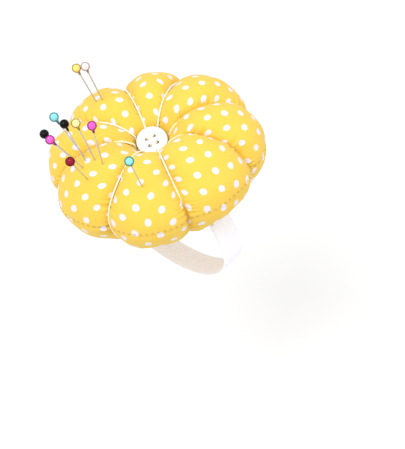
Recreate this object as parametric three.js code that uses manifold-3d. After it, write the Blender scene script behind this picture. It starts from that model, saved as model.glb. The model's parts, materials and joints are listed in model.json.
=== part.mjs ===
// Wrist pin cushion: an eight-lobed, thread-wrapped fabric cushion with a sewn button,
// ten ball-headed pins and an elastic wristband. Millimetres, +Z up along the cushion's axis.
// The origin is the middle of the flat underside. The forearm runs along X through the band.
import * as THREE from 'three';
import { mergeVertices } from 'three/addons/utils/BufferGeometryUtils.js';
import Module from 'manifold-3d';

const wasm = await Module();
wasm.setup();

// ---- Driving dimensions -------------------------------------------------------------------

// Where the eight wraps pull the cushion in, in degrees about Z. They are tied by hand,
// so they are up to 6 degrees away from an even 45.
const FURROW_DEG = [-24, 23, 62, 110, 147, 198, 238, 286];

const CREST_R = 50;        // radius at the fattest place of a lobe
const FURROW_R = 43;       // radius in a furrow at the same height
const CREST_Z = 41;        // height of a lobe
const FURROW_Z = 36.5;     // height of a furrow where it passes over the top
const WAIST_Z = 21;        // height of the fattest place
const CREST_TOP_R = 22.5;  // distance from the axis to the highest point of a lobe
const FURROW_TOP_R = 21.5;
const WELL_R = 8.8;        // the hollow that the button sits in
const WELL_Z = 24.8;
const HEM_R = 28.8;        // where the cover turns in under the cushion
const CREST_HEM_Z = 0.4;
const FURROW_HEM_Z = 1.8;
const LOBE_POWER = 2.2;    // how full the lobes are between two furrows
const GROOVE_HALF = 1.3;   // half width of the groove that a wrap lies in

const COVER_T = 1.0;       // cotton with its backing
const FILLING_INSET = 2.0;
const AXIS_HOLE_R = 1.6;   // where the tie thread goes through

const BASE_COVER_R = 28.2;
const BASE_COVER_T = 0.8;
const BASE_DISC_R = 27.6;
const BASE_DISC_T = 1.0;
const LAYER_GAP = 0.3;

const THREAD_R = 0.45;
const THREAD_LIFT = 0.8;   // from the fabric to the middle of a wrap
const WRAP_INNER_R = 2.4;
const TIE_R = 0.8;
const SEAM_THREAD_R = 0.25;
const SEAM_LIFT = 0.6;
const SEAM_ALPHA = -10;    // place of the running stitch, down from the waist, in degrees
// Places of a wrap's points: down from the well, over the top and the waist to the hem.
const WRAP_ALPHAS = [150, 130, 110, 90, 70, 50, 30, 10, -10, -30, -50, -70, -86];
const SEAM_CROSSING = 0.9; // extra lift of a wrap where it passes over the running stitch

const BUTTON_R = 7;
const BUTTON_T = 2.6;
const BUTTON_RIM = 1.5;
const BUTTON_DISH = 0.7;
const BUTTON_Z = 29.2;     // underside of the button on the axis
const BUTTON_TILT = 20;    // it leans towards BUTTON_LEAN_TO, in degrees
const BUTTON_LEAN_TO = -127;
const BUTTON_TURN = -26;   // turn of its four holes about Z
const HOLE_R = 0.85;
const HOLE_PITCH = 3.6;
const STITCH_R = 0.22;

const PIN_LENGTH = 38;     // from the middle of the head to the tip
const PIN_R = 0.3;
const PIN_POINT = 2.5;
const PIN_HOLE_R = 0.65;
const HEAD_R = 2;
const COLLAR_END = 4.2;    // the head's collar, measured from the middle of the ball
const COLLAR_R = 0.9;

// One row per pin: place on the cushion (degrees about Z, then degrees up the lobe from its
// waist), lean from upright and where it leans to, and the length that stands out.
const PINS = [
  { about: 92, up: 73, lean: 11, to: 167, proud: 23.2, color: 0xf0c030 },
  { about: 88, up: 77, lean: 13, to: -157, proud: 25.1, color: 0xf3d6cb },
  { about: 162.5, up: 71, lean: 18, to: 123, proud: 24.9, color: 0x63cfe0 },
  { about: 168, up: 69, lean: 9, to: 151, proud: 24.1, color: 0x151517 },
  { about: 174, up: 75, lean: 8.5, to: -177, proud: 25.0, color: 0xf1dc7c },
  { about: 182, up: 75, lean: 5, to: -108, proud: 23.9, color: 0xd843b4 },
  { about: 160, up: 62, lean: 23, to: 165, proud: 24.5, color: 0x151517 },
  { about: 172, up: 63, lean: 24, to: 154, proud: 24.3, color: 0xe548c8 },
  { about: 179, up: 56, lean: 28, to: -146, proud: 24.4, color: 0x7c1026 },
  { about: 219, up: 58, lean: 21, to: -140, proud: 24.4, color: 0x4cc5dd },
];

const BAND_W = 12;         // width of the elastic, along the forearm
const BAND_T = 1.1;
const BAND_HALF = 36.6;    // half of the loop's greatest width
const BAND_MID_Z = -19;    // height of that greatest width, where straps and loop meet
const BAND_RISE = 34;      // vertical half axis of the loop above that height
const BAND_DROP = 26.5;    // and below it
const BAND_TOP_Z = 0.15;
const BAND_SPLIT = 0.15;   // half of the gap between a strap and the loop
const TACK_L = 10;
const TACK_T = 0.5;
const TACK_H = 2.2;

// ---- Materials ----------------------------------------------------------------------------

const matte = (color, roughness = 0.9) => (
  new THREE.MeshStandardMaterial({ color, roughness, metalness: 0 })
);
const steel = new THREE.MeshStandardMaterial({ color: 0xc4c6ca, roughness: 0.25, metalness: 1 });
const yellowCotton = matte(0xfadf59);
const whiteThread = matte(0xf6f0dc, 0.7);
const whiteElastic = matte(0xfbf8fc, 0.85);

// ---- Geometry helpers ---------------------------------------------------------------------

const rad = THREE.MathUtils.degToRad;

/** A closed skin through rings of equally many points; the last ring joins the first. */
function skinOfRings(rings) {
  const count = rings[0].length;
  const positions = rings.flat().flatMap((p) => [p.x, p.y, p.z]);
  const index = [];
  for (let i = 0; i < rings.length; i += 1) {
    const next = (i + 1) % rings.length;
    for (let j = 0; j < count; j += 1) {
      const k = (j + 1) % count;
      const [a, b, c, d] = [i * count + j, i * count + k, next * count + k, next * count + j];
      index.push(a, c, b, a, d, c);
    }
  }
  const geometry = new THREE.BufferGeometry();
  geometry.setAttribute('position', new THREE.Float32BufferAttribute(positions, 3));
  geometry.setIndex(index);
  return geometry;
}

/** A round tube of the given radius along a curve, with closed ends. */
function tube(curve, radius, steps, sides = 6) {
  const section = new THREE.Shape();
  for (let i = 0; i < sides; i += 1) {
    const a = (2 * Math.PI * i) / sides;
    if (i === 0) section.moveTo(radius * Math.cos(a), radius * Math.sin(a));
    else section.lineTo(radius * Math.cos(a), radius * Math.sin(a));
  }
  return new THREE.ExtrudeGeometry(section, { steps, extrudePath: curve, bevelEnabled: false });
}

function lathe(profile, sides) {
  const points = profile.map(([r, z]) => new THREE.Vector2(r, z));
  return new THREE.LatheGeometry(points, sides).rotateX(Math.PI / 2);
}

/** A flat disc with its underside at the given height. */
function disc(radius, thickness, z, sides) {
  return lathe([[0, z], [radius, z], [radius, z + thickness], [0, z + thickness]], sides);
}

function toSolid(geometry) {
  const bare = geometry.clone();
  bare.deleteAttribute('normal');
  bare.deleteAttribute('uv');
  const merged = mergeVertices(bare, 1e-4);
  return new wasm.Manifold(new wasm.Mesh({
    numProp: 3,
    vertProperties: new Float32Array(merged.attributes.position.array),
    triVerts: new Uint32Array(merged.index.array),
  }));
}

/** The first geometry with all the others taken out of it. */
function cut(geometry, tools) {
  let solid = toSolid(geometry);
  for (const tool of tools) solid = solid.subtract(toSolid(tool));
  const result = solid.getMesh();
  const out = new THREE.BufferGeometry();
  out.setAttribute('position', new THREE.Float32BufferAttribute(result.vertProperties, 3));
  out.setIndex(new THREE.Uint32BufferAttribute(result.triVerts, 1));
  return out;
}

const object = new THREE.Group();

function add(name, geometry, material, parent = object) {
  const mesh = new THREE.Mesh(geometry, material);
  mesh.name = name;
  parent.add(mesh);
  return mesh;
}

// ---- Form of the cushion ------------------------------------------------------------------

/** Radius and height at a place up the profile: 180 is the well, 90 the top, 0 the waist
 *  and -90 the hem. */
function profilePoint(alphaDeg, waistR, topR, topZ, hemZ, inset) {
  const c = Math.cos(rad(alphaDeg));
  const s = Math.sin(rad(alphaDeg));
  const outerR = waistR - inset;
  if (s < 0) {
    const hem = hemZ + inset;
    return { r: HEM_R + (outerR - HEM_R) * c, z: WAIST_Z + (WAIST_Z - hem) * s };
  }
  if (c > 0) return { r: topR + (outerR - topR) * c, z: WAIST_Z + (topZ - inset - WAIST_Z) * s };
  const wellR = WELL_R + inset;
  const wellZ = WELL_Z - inset;
  return { r: topR + (topR - wellR) * c, z: wellZ + (topZ - inset - wellZ) * s };
}

const furrowProfile = (alpha, inset) => (
  profilePoint(alpha, FURROW_R, FURROW_TOP_R, FURROW_Z, FURROW_HEM_Z, inset)
);
const crestProfile = (alpha, inset) => (
  profilePoint(alpha, CREST_R, CREST_TOP_R, CREST_Z, CREST_HEM_Z, inset)
);

/** A point of the cushion's skin. across runs from -1 at one furrow to 1 at the next. */
function skinPoint(lobe, across, alpha, inset) {
  const start = FURROW_DEG[lobe];
  const end = lobe === 7 ? FURROW_DEG[0] + 360 : FURROW_DEG[lobe + 1];
  const about = rad(start + ((across + 1) / 2) * (end - start));
  const furrow = furrowProfile(alpha, inset);
  const crest = crestProfile(alpha, inset);
  const halfArc = (furrow.r * rad(end - start)) / 2;
  const flank = Math.max(0.2, 1 - (GROOVE_HALF + inset * 0.5) / halfArc);
  const t = Math.min(1, Math.abs(across) / flank);
  const bulge = (1 - t ** LOBE_POWER) ** (1 / LOBE_POWER);
  const r = furrow.r + (crest.r - furrow.r) * bulge;
  const z = furrow.z + (crest.z - furrow.z) * bulge;
  return new THREE.Vector3(r * Math.cos(about), r * Math.sin(about), z);
}

/** One ring of the skin, with points where the groove and the lobe's flanks need them. */
function skinRing(alpha, inset) {
  const ring = [];
  const { r } = furrowProfile(alpha, inset);
  for (let lobe = 0; lobe < 8; lobe += 1) {
    const end = lobe === 7 ? FURROW_DEG[0] + 360 : FURROW_DEG[lobe + 1];
    const halfArc = (r * rad(end - FURROW_DEG[lobe])) / 2;
    const flank = Math.max(0.2, 1 - (GROOVE_HALF + inset * 0.5) / halfArc);
    const stops = [-1, -flank, -0.93 * flank, -0.6 * flank, 0, 0.6 * flank, 0.93 * flank, flank];
    for (const across of stops) ring.push(skinPoint(lobe, across, alpha, inset));
  }
  return ring;
}

/** A ring of the same count on a circle, so that it joins the skin's rings. */
function roundRing(like, r, z) {
  return like.map((p) => {
    const about = Math.atan2(p.y, p.x);
    return new THREE.Vector3(r * Math.cos(about), r * Math.sin(about), z);
  });
}

const skinRings = (alphas, inset) => alphas.map((alpha) => skinRing(alpha, inset));

const COVER_ALPHAS = [180, 160, 140, 120, 105, 90, 74, 57, 39, 20, 0, -20, -40, -58, -75, -90];
const FILLING_ALPHAS = [180, 152, 124, 98, 74, 50, 25, 0, -28, -58, -90];

// ---- Pins ---------------------------------------------------------------------------------

/** Where a pin goes in and which way it points, head up. */
function pinAxis({ about, up, lean, to }) {
  const turned = about < FURROW_DEG[0] ? about + 360 : about;
  const lobe = FURROW_DEG.findLastIndex((furrow) => furrow <= turned);
  const start = FURROW_DEG[lobe];
  const end = lobe === 7 ? FURROW_DEG[0] + 360 : FURROW_DEG[lobe + 1];
  const entry = skinPoint(lobe, (2 * (turned - start)) / (end - start) - 1, up, 0);
  const direction = new THREE.Vector3(
    Math.sin(rad(lean)) * Math.cos(rad(to)),
    Math.sin(rad(lean)) * Math.sin(rad(to)),
    Math.cos(rad(lean)),
  );
  return { entry, direction };
}

/** A group whose origin is the middle of the pin's head and whose +Z runs out of the cushion. */
function pinGroup(pin) {
  const { entry, direction } = pinAxis(pin);
  const group = new THREE.Group();
  group.position.copy(entry).addScaledVector(direction, pin.proud);
  group.quaternion.setFromUnitVectors(new THREE.Vector3(0, 0, 1), direction);
  return group;
}

function pinShaftGeometry() {
  const top = -0.9;
  return lathe([
    [0, -PIN_LENGTH], [PIN_R, -PIN_LENGTH + PIN_POINT], [PIN_R, top], [0, top],
  ], 8);
}

function pinHeadGeometry() {
  const bore = PIN_R + LAYER_GAP;
  const profile = [[0, -0.5], [bore, -0.5], [bore, -COLLAR_END], [COLLAR_R, -COLLAR_END]];
  for (const latitude of [-56, -28, 0, 30, 60, 90]) {
    profile.push([HEAD_R * Math.cos(rad(latitude)), HEAD_R * Math.sin(rad(latitude))]);
  }
  profile[profile.length - 1][0] = 0;
  return lathe(profile, 10);
}

/** The hole that a pin keeps open, from above the skin to just past the tip. */
function pinHole(pin) {
  const { entry, direction } = pinAxis(pin);
  const depth = PIN_LENGTH - pin.proud + 1;
  const hole = lathe([[0, -depth], [PIN_HOLE_R, -depth], [PIN_HOLE_R, 6], [0, 6]], 6);
  hole.applyQuaternion(new THREE.Quaternion()
    .setFromUnitVectors(new THREE.Vector3(0, 0, 1), direction));
  return hole.translate(entry.x, entry.y, entry.z);
}

const pinHoles = PINS.map(pinHole);

// ---- Cover, filling and base --------------------------------------------------------------

function coverGeometry() {
  const outer = skinRings(COVER_ALPHAS, 0);
  const inner = skinRings(COVER_ALPHAS, COVER_T).reverse();
  const mouthOut = roundRing(outer[0], AXIS_HOLE_R, WELL_Z - 0.3);
  const mouthIn = roundRing(outer[0], AXIS_HOLE_R, WELL_Z - 0.3 - COVER_T);
  return cut(skinOfRings([mouthOut, ...outer, ...inner, mouthIn]), pinHoles);
}

function fillingGeometry() {
  const outer = skinRings(FILLING_ALPHAS, FILLING_INSET);
  const topHole = roundRing(outer[0], AXIS_HOLE_R, WELL_Z - 0.6 - FILLING_INSET);
  const floor = outer[outer.length - 1][0].z;
  const lowHole = roundRing(outer[0], AXIS_HOLE_R, floor);
  return cut(skinOfRings([topHole, ...outer, lowHole]), pinHoles);
}

add('cushion_cover', coverGeometry(), yellowCotton);
add('fibre_filling', fillingGeometry(), matte(0xf7f4ea, 1));
add('base_cover', disc(BASE_COVER_R, BASE_COVER_T, 0, 48), yellowCotton);
const discZ = BASE_COVER_T + LAYER_GAP;
add('base_disc', disc(BASE_DISC_R, BASE_DISC_T, discZ, 36), matte(0xe9e6df, 0.5));

// ---- Threads ------------------------------------------------------------------------------

/** The wrap's middle line: out of the well, over the top, down the side and under the hem. */
function wrapCurve(furrowDeg) {
  const at = (r, z) => (
    new THREE.Vector3(r * Math.cos(rad(furrowDeg)), r * Math.sin(rad(furrowDeg)), z)
  );
  const points = [
    at(WRAP_INNER_R, WELL_Z + THREAD_LIFT - 0.2),
    at(WELL_R * 0.6, WELL_Z + THREAD_LIFT - 0.1),
    at(WELL_R - 1, WELL_Z + THREAD_LIFT + 0.5),
  ];
  for (const alpha of WRAP_ALPHAS) {
    const here = furrowProfile(alpha, 0);
    const above = furrowProfile(alpha + 1, 0);
    const below = furrowProfile(alpha - 1, 0);
    const length = Math.hypot(above.r - below.r, above.z - below.z);
    const lift = (THREAD_LIFT + (alpha === SEAM_ALPHA ? SEAM_CROSSING : 0)) / length;
    points.push(at(here.r + (above.z - below.z) * lift, here.z + (below.r - above.r) * lift));
  }
  return new THREE.CatmullRomCurve3(points);
}

FURROW_DEG.forEach((furrow, i) => {
  add(`wrap_thread_${i + 1}`, tube(wrapCurve(furrow), THREAD_R, 30), whiteThread);
});

/** The running stitch just below the waist: one thin ring round every lobe. */
function seamThreadGeometry() {
  const skin = skinRing(SEAM_ALPHA, 0);
  const slope = rad(SEAM_ALPHA);
  const ringAt = (dr, dz) => skin.map((p) => {
    const r = Math.hypot(p.x, p.y);
    return new THREE.Vector3((p.x * (r + dr)) / r, (p.y * (r + dr)) / r, p.z + dz);
  });
  const [outR, outZ] = [SEAM_LIFT * Math.cos(slope), SEAM_LIFT * Math.sin(slope)];
  const sections = [];
  for (let i = 0; i < 4; i += 1) {
    const a = -(Math.PI * i) / 2;
    sections.push(ringAt(outR + SEAM_THREAD_R * Math.cos(a), outZ + SEAM_THREAD_R * Math.sin(a)));
  }
  return skinOfRings(sections);
}

add('seam_thread', seamThreadGeometry(), matte(0xf2d24c, 0.7));

const tieTop = BUTTON_Z - 0.6;
const tieLow = discZ + BASE_DISC_T + LAYER_GAP;
add('tie_thread', disc(TIE_R, tieTop - tieLow, tieLow, 8), whiteThread);

// ---- Button -------------------------------------------------------------------------------

const buttonSeat = new THREE.Group();
buttonSeat.position.set(0, 0, BUTTON_Z);
buttonSeat.quaternion.setFromAxisAngle(
  new THREE.Vector3(-Math.sin(rad(BUTTON_LEAN_TO)), Math.cos(rad(BUTTON_LEAN_TO)), 0),
  rad(BUTTON_TILT),
);
object.add(buttonSeat);

const holeSides = [-HOLE_PITCH / 2, HOLE_PITCH / 2];

function buttonGeometry() {
  const body = lathe([
    [0, 0], [BUTTON_R - 1.1, 0], [BUTTON_R - 0.2, 0.6], [BUTTON_R, 1.4], [BUTTON_R - 0.4, 2.2],
    [BUTTON_R - BUTTON_RIM * 0.8, BUTTON_T], [BUTTON_R - BUTTON_RIM * 1.5, BUTTON_T - BUTTON_DISH],
    [0, BUTTON_T - BUTTON_DISH],
  ], 32);
  const holes = holeSides.flatMap((x) => holeSides.map((y) => (
    lathe([[0, -1], [HOLE_R, -1], [HOLE_R, BUTTON_T + 1], [0, BUTTON_T + 1]], 10)
      .translate(x, y, 0)
  )));
  return cut(body, holes);
}

/** Thread up one hole, across the face and down the hole beside it. */
function stitchGeometry() {
  const top = BUTTON_T - BUTTON_DISH + STITCH_R + LAYER_GAP;
  const half = HOLE_PITCH / 2;
  const path = new THREE.CatmullRomCurve3([
    new THREE.Vector3(-half, 0, 0.2), new THREE.Vector3(-half, 0, top - 0.7),
    new THREE.Vector3(-half + 0.35, 0, top), new THREE.Vector3(0, 0, top + 0.1),
    new THREE.Vector3(half - 0.35, 0, top), new THREE.Vector3(half, 0, top - 0.7),
    new THREE.Vector3(half, 0, 0.2),
  ]);
  return tube(path, STITCH_R, 18);
}

const buttonTurn = rad(BUTTON_TURN);
add('button', buttonGeometry(), matte(0xfcfafc, 0.35), buttonSeat).rotation.z = buttonTurn;
holeSides.forEach((offset, i) => {
  const stitch = add(`button_stitch_${i + 1}`, stitchGeometry(), whiteThread, buttonSeat);
  stitch.rotation.z = buttonTurn;
  stitch.position.set(-Math.sin(buttonTurn) * offset, Math.cos(buttonTurn) * offset, 0);
});

// ---- Pins in their places -----------------------------------------------------------------

PINS.forEach((pin, i) => {
  const group = pinGroup(pin);
  object.add(group);
  add(`pin_shaft_${i + 1}`, pinShaftGeometry(), steel, group);
  add(`pin_head_${i + 1}`, pinHeadGeometry(), matte(pin.color, 0.2), group);
});

// ---- Elastic wristband --------------------------------------------------------------------

/** Half width of the loop's middle line at a height, grown or shrunk by an offset. */
function loopHalf(z, offset) {
  const rise = z - BAND_MID_Z;
  const axis = (rise > 0 ? BAND_RISE : BAND_DROP) + offset;
  return (BAND_HALF + offset) * Math.sqrt(Math.max(0, 1 - (rise / axis) ** 2));
}

/** Turns an outline in Y and Z into a strip of the given width, centred on X = 0. */
function strip(outline, width) {
  const shape = new THREE.Shape(outline.map(([y, z]) => new THREE.Vector2(y, z)));
  const geometry = new THREE.ExtrudeGeometry(shape, { depth: width, bevelEnabled: false });
  geometry.translate(0, 0, -width / 2);
  return geometry.applyMatrix4(new THREE.Matrix4().set(
    0, 0, 1, 0,
    1, 0, 0, 0,
    0, 1, 0, 0,
    0, 0, 0, 1,
  ));
}

/** The strap from the hem down to the loop's widest place, on the +Y or -Y side. */
function strapGeometry(side) {
  const steps = 8;
  const low = BAND_MID_Z + BAND_SPLIT;
  const heights = Array.from({ length: steps + 1 }, (_, i) => (
    BAND_TOP_Z + ((low - BAND_TOP_Z) * i) / steps
  ));
  const outer = heights.map((z) => [side * loopHalf(z, BAND_T / 2), z]);
  const inner = heights.map((z) => [side * loopHalf(z, -BAND_T / 2), z]).reverse();
  const outline = [...outer, ...inner];
  return strip(side > 0 ? outline.reverse() : outline, BAND_W);
}

/** The lower half of the loop, round the underside of the wrist. */
function loopGeometry() {
  const steps = 26;
  const arc = (offset) => Array.from({ length: steps + 1 }, (_, i) => {
    const a = Math.PI * (1 + i / steps);
    return [
      (BAND_HALF + offset) * Math.cos(a),
      BAND_MID_Z - BAND_SPLIT + (BAND_DROP - BAND_SPLIT + offset) * Math.sin(a),
    ];
  });
  return strip([...arc(BAND_T / 2), ...arc(-BAND_T / 2).reverse()], BAND_W);
}

function tackGeometry(side) {
  const inner = loopHalf(BAND_TOP_Z - TACK_H, BAND_T / 2) + LAYER_GAP;
  const tack = new THREE.BoxGeometry(TACK_L, TACK_T, TACK_H);
  return tack.translate(0, side * (inner + TACK_T / 2), BAND_TOP_Z - TACK_H / 2 - 0.2);
}

add('band_strap_far', strapGeometry(1), whiteElastic);
add('band_strap_near', strapGeometry(-1), whiteElastic);
add('band_loop', loopGeometry(), whiteElastic);
add('band_tack_far', tackGeometry(1), whiteThread);
add('band_tack_near', tackGeometry(-1), whiteThread);

export default object;
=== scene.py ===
"""Looks of the wrist pin cushion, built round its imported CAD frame. Metres, +Z up."""
import json
import math

import bpy
import numpy as np
from mathutils import Matrix, Vector
from mathutils.bvhtree import BVHTree


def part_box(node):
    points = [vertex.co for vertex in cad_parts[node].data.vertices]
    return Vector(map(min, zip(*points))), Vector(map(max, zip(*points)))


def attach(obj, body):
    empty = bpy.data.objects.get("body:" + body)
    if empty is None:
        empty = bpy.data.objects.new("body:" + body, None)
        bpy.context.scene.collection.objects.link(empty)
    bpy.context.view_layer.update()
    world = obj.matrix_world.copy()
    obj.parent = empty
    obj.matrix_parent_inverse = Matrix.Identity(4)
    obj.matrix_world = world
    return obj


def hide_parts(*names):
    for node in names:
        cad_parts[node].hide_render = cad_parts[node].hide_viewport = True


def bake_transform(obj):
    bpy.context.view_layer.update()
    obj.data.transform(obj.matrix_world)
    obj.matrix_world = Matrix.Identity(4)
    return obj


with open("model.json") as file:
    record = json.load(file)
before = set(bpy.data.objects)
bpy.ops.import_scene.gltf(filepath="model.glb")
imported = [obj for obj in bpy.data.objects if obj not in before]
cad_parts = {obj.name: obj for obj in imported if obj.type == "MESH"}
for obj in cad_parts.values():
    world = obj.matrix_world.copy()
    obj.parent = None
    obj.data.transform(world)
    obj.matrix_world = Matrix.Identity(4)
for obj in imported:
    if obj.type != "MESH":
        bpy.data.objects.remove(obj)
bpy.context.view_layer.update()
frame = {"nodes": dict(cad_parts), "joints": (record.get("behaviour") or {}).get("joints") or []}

MM = 0.001
TAU = 2 * math.pi
rng = np.random.default_rng(7)


# ---- Camera ---------------------------------------------------------------------------------

CUSHION_MIDDLE = Vector((0, 0, 0.0205))
AZIMUTH = math.radians(-37)
ELEVATION = math.radians(41)
ROLL = math.radians(15.3)
DISTANCE = 0.5587
AIM_RIGHT = 0.0206   # the picture's middle lies this far right of the cushion's middle
AIM_DOWN = 0.0304    # and this far below it


def make_camera():
    back = Vector((
        math.sin(AZIMUTH) * math.cos(ELEVATION),
        -math.cos(AZIMUTH) * math.cos(ELEVATION),
        math.sin(ELEVATION),
    ))
    level = Vector((math.cos(AZIMUTH), math.sin(AZIMUTH), 0))
    upright = back.cross(level)
    right = math.cos(ROLL) * level - math.sin(ROLL) * upright
    up = back.cross(right)
    place = CUSHION_MIDDLE + back * DISTANCE
    aim = CUSHION_MIDDLE + right * AIM_RIGHT - up * AIM_DOWN
    z = (place - aim).normalized()
    x = up.cross(z).normalized()
    y = z.cross(x)
    data = bpy.data.cameras.new("camera")
    data.lens = 100
    data.sensor_width = 36
    camera = bpy.data.objects.new("camera", data)
    camera.matrix_world = Matrix((
        (x.x, y.x, z.x, place.x),
        (x.y, y.y, z.y, place.y),
        (x.z, y.z, z.z, place.z),
        (0, 0, 0, 1),
    ))
    bpy.context.scene.collection.objects.link(camera)
    bpy.context.scene.camera = camera


# ---- Small helpers --------------------------------------------------------------------------

def new_object(name, points, faces, *materials):
    """A smooth mesh object from points in millimetres."""
    mesh = bpy.data.meshes.new(name)
    mesh.from_pydata([tuple(p) for p in np.asarray(points, float) * MM], [], faces)
    mesh.validate()
    mesh.polygons.foreach_set("use_smooth", [True] * len(mesh.polygons))
    for material in materials:
        mesh.materials.append(material)
    obj = bpy.data.objects.new(name, mesh)
    bpy.context.scene.collection.objects.link(obj)
    return obj


def coordinates(mesh):
    """The mesh's points as an array, in millimetres."""
    flat = np.zeros(len(mesh.vertices) * 3)
    mesh.vertices.foreach_get("co", flat)
    return flat.reshape(-1, 3) / MM


def apply_modifiers(obj):
    """Gives the object the mesh that its modifiers make, and removes them."""
    depsgraph = bpy.context.evaluated_depsgraph_get()
    made = bpy.data.meshes.new_from_object(obj.evaluated_get(depsgraph), depsgraph=depsgraph)
    obj.modifiers.clear()
    obj.data = made


def unit(v):
    return v / np.linalg.norm(v, axis=-1, keepdims=True)


def swell(value, start, end):
    """0 at start, 1 at end, smooth between."""
    t = np.clip((value - start) / (end - start), 0, 1)
    return t * t * (3 - 2 * t)


def grid_faces(rows, columns):
    """Quads of a grid of points, row after row. Each row closes on itself."""
    faces = []
    for i in range(rows - 1):
        this, following = i * columns, (i + 1) * columns
        for j in range(columns):
            k = (j + 1) % columns
            faces.append((this + j, this + k, following + k, following + j))
    return faces


def capped(rings, faces, rows, columns):
    """Closes both ends of a grid of rings with a fan round a middle point."""
    points = list(rings)
    first = len(points)
    points.append(np.mean(rings[:columns], axis=0))
    points.append(np.mean(rings[-columns:], axis=0))
    last = (rows - 1) * columns
    for j in range(columns):
        k = (j + 1) % columns
        faces.append((first, k, j))
        faces.append((first + 1, last + j, last + k))
    return points, faces


PLY_VALLEY = 0.78      # a thread's radius between two plies, as a share of its full radius
PLY_SWELL = 0.24       # and how much the middle of a ply adds


def sweep(path, radius, sides, plies, lay):
    """A thread along a path: plies twisted together, one turn for each length of lay."""
    path = np.asarray(path, float)
    tangents = unit(np.gradient(path, axis=0))
    side = np.cross(tangents[0], (0.31, 0.17, 0.93))
    length = np.concatenate([[0], np.cumsum(np.linalg.norm(np.diff(path, axis=0), axis=1))])
    rings = []
    angles = np.linspace(0, TAU, sides, endpoint=False)
    for i, point in enumerate(path):
        side = unit(side - tangents[i] * side.dot(tangents[i]))
        other = np.cross(tangents[i], side)
        turn = length[i] / lay * TAU
        size = radius * (PLY_VALLEY + PLY_SWELL * np.abs(np.cos(plies / 2 * (angles - turn))))
        rings.extend(point + size[:, None] * (np.cos(angles)[:, None] * side
                                              + np.sin(angles)[:, None] * other))
    return capped(rings, grid_faces(len(path), sides), len(path), sides)


CURVE_STEPS = 16       # finer steps between two points, before the curve is cut evenly


def resample(points, step):
    """A smooth curve through the points, cut into even steps."""
    points = np.asarray(points, float)
    ends = 2 * points[0] - points[1], 2 * points[-1] - points[-2]
    padded = np.vstack([ends[0], points, ends[1]])
    t = np.linspace(0, 1, CURVE_STEPS, endpoint=False)[:, None]
    fine = []
    for p0, p1, p2, p3 in zip(padded, padded[1:], padded[2:], padded[3:]):
        fine.append(0.5 * (2 * p1 + (p2 - p0) * t + (2 * p0 - 5 * p1 + 4 * p2 - p3) * t ** 2
                           + (3 * p1 - p0 - 3 * p2 + p3) * t ** 3))
    fine = np.vstack([*fine, points[-1]])
    length = np.concatenate([[0], np.cumsum(np.linalg.norm(np.diff(fine, axis=0), axis=1))])
    want = np.linspace(0, length[-1], max(4, round(length[-1] / step)))
    return np.stack([np.interp(want, length, fine[:, k]) for k in range(3)], axis=1)


def lathe(profile, sides):
    """A body turned about Z. The profile's rows are radius and height, and it ends on the axis."""
    angles = np.linspace(0, TAU, sides, endpoint=False)
    rings = [(r * math.cos(a), r * math.sin(a), z) for r, z in profile for a in angles]
    return capped(rings, grid_faces(len(profile), sides), len(profile), sides)


def together(pieces):
    """Several (points, faces) pairs as one."""
    points, faces = [], []
    for piece_points, piece_faces in pieces:
        base = len(points)
        points.extend(piece_points)
        faces.extend(tuple(base + i for i in face) for face in piece_faces)
    return points, faces


# ---- Materials ------------------------------------------------------------------------------

class Look:
    """A material and short calls for building its nodes."""

    def __init__(self, name):
        self.material = bpy.data.materials.new(name)
        self.material.use_nodes = True
        self.tree = self.material.node_tree
        self.shader = self.tree.nodes["Principled BSDF"]
        self.place = self.add("ShaderNodeTexCoord").outputs["Object"]

    def add(self, kind, **settings):
        node = self.tree.nodes.new(kind)
        for key, value in settings.items():
            setattr(node, key, value)
        return node

    def feed(self, socket, value):
        if isinstance(value, bpy.types.NodeSocket):
            self.tree.links.new(value, socket)
        elif isinstance(value, tuple) and len(value) == 3:
            socket.default_value = (*value, 1)
        else:
            socket.default_value = value

    def set(self, **sockets):
        for key, value in sockets.items():
            self.feed(self.shader.inputs[key.replace("_", " ")], value)

    def math(self, operation, *values):
        node = self.add("ShaderNodeMath", operation=operation)
        for socket, value in zip(node.inputs, values):
            self.feed(socket, value)
        return node.outputs[0]

    def split(self, vector):
        node = self.add("ShaderNodeSeparateXYZ")
        self.feed(node.inputs[0], vector)
        return node.outputs

    def noise(self, scale, detail=2.0, roughness=0.5, vector=None):
        node = self.add("ShaderNodeTexNoise")
        self.feed(node.inputs["Vector"], self.place if vector is None else vector)
        self.feed(node.inputs["Scale"], scale)
        self.feed(node.inputs["Detail"], detail)
        self.feed(node.inputs["Roughness"], roughness)
        return node.outputs["Fac"]

    def ramp(self, value, low, high, out_low=0.0, out_high=1.0):
        node = self.add("ShaderNodeMapRange")
        for key, number in (("Value", value), ("From Min", low), ("From Max", high),
                            ("To Min", out_low), ("To Max", out_high)):
            self.feed(node.inputs[key], number)
        return node.outputs[0]

    def mix(self, factor, first, second):
        node = self.add("ShaderNodeMix", data_type="RGBA")
        self.feed(node.inputs[0], factor)
        self.feed(node.inputs[6], first)
        self.feed(node.inputs[7], second)
        return node.outputs[2]

    def bump(self, height, distance, strength=1.0):
        node = self.add("ShaderNodeBump")
        self.feed(node.inputs["Strength"], strength)
        self.feed(node.inputs["Distance"], distance)
        self.feed(node.inputs["Height"], height)
        self.set(Normal=node.outputs[0])


DOT_PITCH = 7.8        # mm from one dot of the print to the next
DOT_R = 1.5
DOT_EDGE = 0.1         # half the width of a dot's soft edge
DOT_SHAKE = 0.7        # mm that the print is out of true
DOT_RAGGED = 0.5       # mm that a dot's outline is uneven
WEAVE_PITCH = 0.42     # mm from one yarn to the next but one
RIB_PITCH = 1.0        # mm across the elastic, from one rib to the next
LOOP_PITCH = 0.7       # mm along it, from one knitted loop to the next
BEAD_DENSITY = 1100    # how fast a clear pin head takes light away, per metre
BEAD_SKIN = 0.3        # and how much of it its surface takes


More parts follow.
